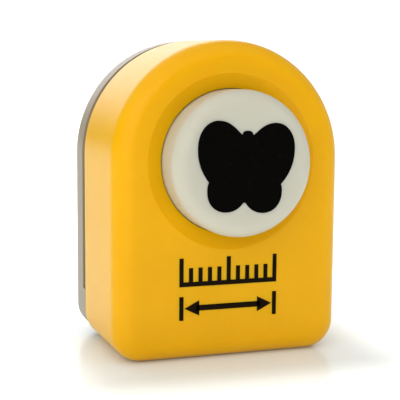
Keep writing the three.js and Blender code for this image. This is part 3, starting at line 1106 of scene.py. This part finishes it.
@dataclass
class ReturnSpring:
    """The coil spring between the guide plate and the button's flange."""

    wire: float = 1.4 * MM
    turns: float = 4.0
    closed_pitch: float = 1.47 * MM
    steps_per_turn: int = 48
    wire_points: int = 14
    look_ahead: float = 0.001
    low: Vector = field(default_factory=lambda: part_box("return_spring")[0])
    high: Vector = field(default_factory=lambda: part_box("return_spring")[1])

    def line(self, turn: float) -> Vector:
        """A point on the wire's centre line.

        Args:
            turn: turns along the wire from the guide plate.

        Returns:
            The point.
        """
        radius = (self.high.x - self.low.x - self.wire) / 2
        rise = self.high.y - self.low.y - self.wire
        active = min(max((turn - 1) / (self.turns - 2), 0), 1)
        closed = min(turn, 1) + max(turn - self.turns + 1, 0)
        up = self.closed_pitch * closed + (rise - 2 * self.closed_pitch) * active
        angle = math.tau * turn
        centre = PushButton().centre
        x, z = centre.x + radius * math.cos(angle), centre.z + radius * math.sin(angle)
        return Vector((x, self.high.y - self.wire / 2 - up, z))

    def build(self) -> bpy.types.Object:
        """Makes the spring.

        Returns:
            The spring, riding on the housing.
        """
        count = int(self.turns * self.steps_per_turn)
        rings = []
        for i in range(count + 1):
            turn = self.turns * i / count
            point = self.line(turn)
            ahead = (self.line(turn + self.look_ahead) - point).normalized()
            out = Vector((math.cos(math.tau * turn), 0, math.sin(math.tau * turn)))
            side = ahead.cross(out).normalized()
            section = even_turn(self.wire_points)
            around = [out * math.cos(a) + side * math.sin(a) for a in section]
            rings.append([point + spoke * self.wire / 2 for spoke in around])
        spring = skin("coil_spring", rings)
        smooth(spring, angle=50)
        paint(spring, SPRING_STEEL)
        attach(spring, HOUSING)
        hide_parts("return_spring")
        anchor = (0.0, self.high.y, PushButton().centre.z)
        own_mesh(spring)
        return spring


@dataclass
class CrossScrew:
    """A cross-recess pan-head screw seen from the base's back."""

    node: str
    shank: float = 1.2 * MM
    head_height: float = 1.3 * MM
    recess: float = 1.5 * MM
    recess_width: float = 0.52 * MM
    recess_depth: float = 0.8 * MM
    recess_taper: tuple[float, float] = (0.45, 1.2)
    past: float = 0.3 * MM
    tip_height: float = 0.3 * MM
    thread_start: float = 0.5 * MM
    plain: float = 0.9 * MM
    thread_pitch: float = 0.55 * MM
    turn: float = 20.0
    dome: tuple[tuple[float, float], ...] = (
        (0.985, 0.6),
        (0.93, 0.78),
        (0.84, 0.9),
        (0.7, 0.97),
        (0.5, 1.0),
    )

    def cross(self, top: float, axis: Vector) -> list[bpy.types.Object]:
        """The two tapered blades of the driver recess.

        Args:
            top: depth of the head's top.
            axis: a point on the screw's axis.

        Returns:
            Shapes to cut away.
        """
        blades = []
        depths = (top - self.recess_depth, top + self.past)
        for quarter in (0, 90):
            spin = Matrix.Rotation(math.radians(self.turn + quarter), 3, "Y")
            rings = []
            for y, share in zip(depths, self.recess_taper):
                half, width = self.recess * share, self.recess_width / 2 * share
                corners = ((-half, -width), (half, -width), (half, width), (-half, width))
                rings.append([spin @ Vector((x, 0, z)) + Vector((axis.x, y, axis.z)) for x, z in corners])
            blades.append(skin(f"blade_{quarter}", rings))
        return blades

    def build(self) -> bpy.types.Object:
        """Makes the screw.

        Returns:
            The screw, riding on the housing.
        """
        low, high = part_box(self.node)
        axis = (low + high) / 2
        head = (high.x - low.x) / 2
        top = high.y
        seat = top - self.head_height
        profile = [(self.shank * 0.4, low.y), (self.shank * 0.8, low.y + self.tip_height)]
        threads = int((seat - low.y - self.plain) / self.thread_pitch)
        for i in range(threads):
            y = low.y + self.thread_start + i * self.thread_pitch
            profile += [(self.shank * 0.85, y), (self.shank, y + self.thread_pitch / 2)]
        profile += [(self.shank * 0.9, seat - BREAK), (self.shank, seat), (head - BREAK / 2, seat)]
        profile += [(head, seat + BREAK / 2), (head, seat + self.head_height * 0.4)]
        profile += [(head * share, seat + self.head_height * rise) for share, rise in self.dome]
        screw = turned(f"{self.node}_detail", profile, axis, count=40)
        cut_away(screw, self.cross(top, axis))
        smooth(screw, angle=35)
        paint(screw, SCREW_STEEL)
        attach(screw, HOUSING)
        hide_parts(self.node)
        return screw


@dataclass
class WidthGauge:
    """The print under the button: a plain scale over a double arrow that is as wide as the cut shape."""

    width: float = 19.05 * MM
    middle: float = -0.6 * MM
    scale_foot: float = 14.6 * MM
    scale_bar: float = 0.9 * MM
    tick: float = 0.85 * MM
    tall_tick: float = 4.6 * MM
    short_tick: float = 2.7 * MM
    divisions: int = 10
    arrow_height: float = 10.4 * MM
    arrow_line: float = 1.1 * MM
    arrow_head: float = 3.0 * MM
    end_bar: float = 4.6 * MM
    rooted: float = 0.1 * MM
    proud: float = 0.02 * MM

    def shapes(self) -> list[list[tuple[float, float]]]:
        """The outlines of the print.

        Returns:
            Convex outlines as (x, z) pairs.
        """

        def block(x0: float, x1: float, z0: float, z1: float) -> list[tuple[float, float]]:
            """A rectangle."""
            return [(x0, z0), (x1, z0), (x1, z1), (x0, z1)]

        half = self.width / 2
        left, right = self.middle - half, self.middle + half
        foot, line = self.scale_foot, self.arrow_height
        edge = self.tick / 2
        shapes = [block(left - edge, right + edge, foot, foot + self.scale_bar)]
        for i in range(self.divisions + 1):
            x = left + self.width * i / self.divisions
            tall = self.tall_tick if i % 5 == 0 else self.short_tick
            ledge = foot + self.scale_bar
            shapes.append(block(x - edge, x + edge, ledge, ledge + tall))
        low, high = line - self.arrow_line / 2, line + self.arrow_line / 2
        shapes.append(block(left + self.arrow_head, right - self.arrow_head, low, high))
        for side, tip in ((1, left + edge * 1.4), (-1, right - edge * 1.4)):
            neck = tip + side * self.arrow_head
            barb = self.arrow_head / 2
            shapes.append([(tip, line), (neck, line - barb), (neck, line + barb)])
        for x in (left, right):
            shapes.append(block(x - edge, x + edge, line - self.end_bar / 2, line + self.end_bar / 2))
        return shapes

    def build(self) -> bpy.types.Object:
        """Makes the print.

        Returns:
            The print, riding on the housing.
        """
        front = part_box("cover")[0].y
        shape = bmesh.new()
        for outline in self.shapes():
            depths = (front + self.rooted, front - self.proud)
            add_skin(shape, [[Vector((x, y, z)) for x, z in outline] for y in depths])
        gauge = close_up("width_gauge", shape)
        paint(gauge, GAUGE_INK)
        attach(gauge, HOUSING)
        return gauge


@dataclass
class InnerWorks:
    """The plates, cutter, pins and hidden screws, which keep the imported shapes."""

    plates: tuple[str, ...] = ("guide_plate", "throat_spacer", "cutter_carrier")
    hardened: tuple[str, ...] = ("die_plate", "cutter", "dowel_left", "dowel_right")
    paired_screws: tuple[str, ...] = ("die_screw", "guide_screw", "cutter_screw")
    carrier_screws: int = 3

    def screws(self) -> list[str]:
        """The nodes of the hidden screws."""
        names = [f"{kind}_{side}" for kind in self.paired_screws for side in ("left", "right")]
        return names + [f"carrier_screw_{number + 1}" for number in range(self.carrier_screws)]

    def dress(self) -> list[bpy.types.Object]:
        """Gives each carried-over node its metal.

        Returns:
            The nodes.
        """
        metals = (
            (PLATE_METAL, self.plates),
            (TOOL_STEEL, self.hardened),
            (SCREW_STEEL, self.screws()),
        )
        dressed = []
        for finish, nodes in metals:
            for node in nodes:
                piece = frame["nodes"][node]
                paint(piece, finish)
                dressed.append(piece)
        return dressed


# ---------------------------------------------------------------------------------------------------
# The studio
# ---------------------------------------------------------------------------------------------------


@dataclass(frozen=True)
class SkyLobe:
    """One soft patch of the surrounding light."""

    direction: tuple[float, float, float]
    fade: float
    full: float
    strength: float

    def strength_at(
        self, desk: ShaderDesk, where: bpy.types.NodeSocket, below: bpy.types.NodeSocket | None
    ) -> bpy.types.NodeSocket:
        """Adds the patch to what the patches before it give.

        Args:
            desk: the world's shader desk.
            where: the direction looked in.
            below: the strength so far, if any.

        Returns:
            The new strength.
        """
        dot = desk.add("ShaderNodeVectorMath", {"operation": "DOT_PRODUCT"})
        dot.inputs[1].default_value = Vector(self.direction).normalized()
        desk.wire(where, dot.inputs[0])
        patch = desk.add(
            "ShaderNodeMapRange",
            {"interpolation_type": "SMOOTHSTEP"},
            From_Min=self.fade,
            From_Max=self.full,
            To_Min=0.0,
            To_Max=self.strength,
        )
        desk.wire(dot.outputs["Value"], patch.inputs["Value"])
        if below is None:
            return patch.outputs["Result"]
        total = desk.add("ShaderNodeMath", {"operation": "ADD"})
        desk.wire(below, total.inputs[0])
        desk.wire(patch.outputs["Result"], total.inputs[1])
        return total.outputs[0]


@dataclass(frozen=True)
class Softbox:
    """A soft square lamp that faces the punch, not seen itself by the camera."""

    name: str
    place: tuple[float, float, float]
    size: float
    power: float
    tint: Colour
    aim: tuple[float, float, float] = (0.0, 0.0, 0.03)

    def hang(self) -> None:
        """Puts the lamp into the scene."""
        data = bpy.data.lights.new(self.name, "AREA")
        data.shape = "SQUARE"
        data.size = self.size
        data.energy = self.power
        data.color = self.tint
        lamp = bpy.data.objects.new(self.name, data)
        lamp.visible_camera = False
        bpy.context.scene.collection.objects.link(lamp)
        place = Vector(self.place)
        turn = (Vector(self.aim) - place).to_track_quat("-Z", "Y")
        lamp.matrix_world = Matrix.Translation(place) @ turn.to_matrix().to_4x4()


@dataclass
class Studio:
    """A white table with a painted glow that is dimmed round the punch as painted shade, and a soft sky,
    brightest high behind the punch, with three lamps.
    """

    camera_place: tuple[float, float, float] = (-0.0675, -0.1890, 0.0537)
    camera_turn: float = 19.02
    camera_tilt: float = -6.88
    camera_roll: float = 0.4
    lens: float = 90.0
    sensor: float = 36.0
    floor_size: float = 12.0
    floor_drop: float = 0.03 * MM
    floor_white: Colour = (0.8, 0.86, 0.86)
    floor_roughness: float = 0.22
    floor_gloss: float = 0.12
    # painted glow of the table: dim near the punch as painted shade, bright further out
    painted_floor_glow: tuple[float, float] = (0.04, 0.52)
    # distances from the punch's footprint over which the painted shade rises to the painted glow
    painted_shade_reach: tuple[float, float] = (-1 * MM, 18 * MM)
    seen_white: float = 1.1
    ambient: float = 0.05
    lobes: tuple[SkyLobe, ...] = (
        SkyLobe((0.5, 1.0, 0.1), 0.7, 0.98, 0.2),
        SkyLobe((0.04, 0.88, 0.48), 0.84, 0.98, 2.3),
        SkyLobe((-0.35, -0.3, 0.9), 0.4, 0.95, 1.05),
        SkyLobe((-1.0, -0.1, 0.35), 0.3, 0.95, 0.1),
        SkyLobe((1.0, -0.2, 0.2), 0.2, 0.9, 0.5),
    )
    lamps: tuple[Softbox, ...] = (
        Softbox("key_light", (-0.38, -0.6, 0.28), 0.6, 1.75, (1.0, 0.92, 0.84)),
        Softbox("left_light", (-0.75, -0.25, 0.3), 0.5, 0.3, (1.0, 1.0, 0.9)),
        Softbox("back_light", (-0.6, 0.7, 0.7), 0.6, 0.55, (1.0, 1.0, 1.0)),
    )

    def camera(self) -> None:
        """Sets the camera beside and a little above the button."""
        data = bpy.data.cameras.new("camera")
        data.lens = self.lens
        data.sensor_width = self.sensor
        data.clip_start = 1 * MM
        camera = bpy.data.objects.new("camera", data)
        bpy.context.scene.collection.objects.link(camera)
        turn = Euler((0, 0, -math.radians(self.camera_turn))).to_matrix()
        tilt = Euler((math.radians(90 + self.camera_tilt), 0, 0)).to_matrix()
        roll = Euler((0, 0, math.radians(self.camera_roll))).to_matrix()
        camera.matrix_world = Matrix.Translation(self.camera_place) @ (turn @ tilt @ roll).to_4x4()
        bpy.context.scene.camera = camera

    def floor(self) -> bpy.types.Object:
        """Lays the table top.

        Returns:
            The floor.
        """
        half = self.floor_size / 2
        square = ((-half, -half), (half, -half), (half, half), (-half, half))
        corners = [Vector((x, y, -self.floor_drop)) for x, y in square]
        mesh = bpy.data.meshes.new("table_top")
        mesh.from_pydata(corners, [], [(0, 1, 2, 3)])
        floor = link("table_top", mesh)
        material, desk, place = blank_material("white_acrylic")
        shader = desk.add("ShaderNodeBsdfPrincipled", IOR=1.45, Roughness=self.floor_roughness)
        shader.inputs["Base Color"].default_value = (*self.floor_white, 1)
        shader.inputs["Specular IOR Level"].default_value = self.floor_gloss
        shader.inputs["Emission Color"].default_value = (1, 1, 1, 1)
        # painted glow on the table, dimmed round the punch as a painted shadow
        desk.wire(self.painted_table_glow(desk, place), shader.inputs["Emission Strength"])
        desk.surface(shader)
        mesh.materials.append(material)
        return floor

    def painted_table_glow(self, desk: ShaderDesk, place: bpy.types.NodeSocket) -> bpy.types.NodeSocket:
        """Paints a glow on the table, dimmed to a painted shade round the punch's footprint.

        Args:
            desk: the table's shader desk.
            place: the place on the table.

        Returns:
            The painted glow's strength.
        """
        low, high = CAD_BOX
        centre, half = (low + high) / 2, (high - low) / 2
        steps = (
            ("SUBTRACT", (centre.x, centre.y, 0)),
            ("ABSOLUTE", None),
            ("SUBTRACT", (half.x, half.y, 0)),
            ("MAXIMUM", (0, 0, 0)),
            ("LENGTH", None),
        )
        for operation, value in steps:
            node = desk.add("ShaderNodeVectorMath", {"operation": operation})
            if value is not None:
                node.inputs[1].default_value = value
            desk.wire(place, node.inputs[0])
            place = node.outputs["Value" if operation == "LENGTH" else "Vector"]
        # painted shade round the punch fades into the painted glow over this reach
        start, stop = self.painted_shade_reach
        dim, bright = self.painted_floor_glow
        fade = desk.add(
            "ShaderNodeMapRange",
            {"interpolation_type": "SMOOTHSTEP"},
            From_Min=start,
            From_Max=stop,
            To_Min=dim,
            To_Max=bright,
        )
        desk.wire(place, fade.inputs["Value"])
        return fade.outputs["Result"]

    def world(self) -> None:
        """Sets the surrounding light, and the plain white that the camera sees."""
        world = bpy.data.worlds.new("studio")
        bpy.context.scene.world = world
        world.use_nodes = True
        desk = ShaderDesk(world.node_tree)
        direction = desk.add("ShaderNodeTexCoord").outputs["Generated"]
        strength = None
        for lobe in self.lobes:
            strength = lobe.strength_at(desk, direction, strength)
        total = desk.add("ShaderNodeMath", {"operation": "ADD"})
        total.inputs[1].default_value = self.ambient
        desk.wire(strength, total.inputs[0])
        light = desk.add("ShaderNodeBackground", Color=(1, 1, 1, 1))
        desk.wire(total.outputs[0], light.inputs["Strength"])
        seen = desk.add("ShaderNodeBackground", Color=(1, 1, 1, 1), Strength=self.seen_white)
        path = desk.add("ShaderNodeLightPath")
        mix = desk.add("ShaderNodeMixShader")
        desk.wire(path.outputs["Is Camera Ray"], mix.inputs["Fac"])
        desk.wire(light.outputs["Background"], mix.inputs[1])
        desk.wire(seen.outputs["Background"], mix.inputs[2])
        out = desk.add("ShaderNodeOutputWorld")
        desk.wire(mix.outputs["Shader"], out.inputs["Surface"])

    def build(self) -> None:
        """Sets up the whole studio."""
        self.camera()
        self.floor()
        self.world()
        for lamp in self.lamps:
            lamp.hang()
        scene = bpy.context.scene
        scene.view_settings.view_transform = "Standard"
        scene.view_settings.look = "None"


def main() -> None:
    """Builds the punch and its studio."""
    logging.basicConfig(level=logging.INFO, format="%(name)s: %(message)s")
    Studio().build()
    pieces = [CoverShell().build(), *BaseShell().build(), *PushButton().build(), ReturnSpring().build()]
    pieces += [CrossScrew(node).build() for node in BaseShell().screws]
    pieces.append(WidthGauge().build())
    pieces += InnerWorks().dress()
    for piece in pieces:
        log.info("%s: %d faces", piece.name, len(piece.data.polygons))


if __name__ == "__main__":
    main()
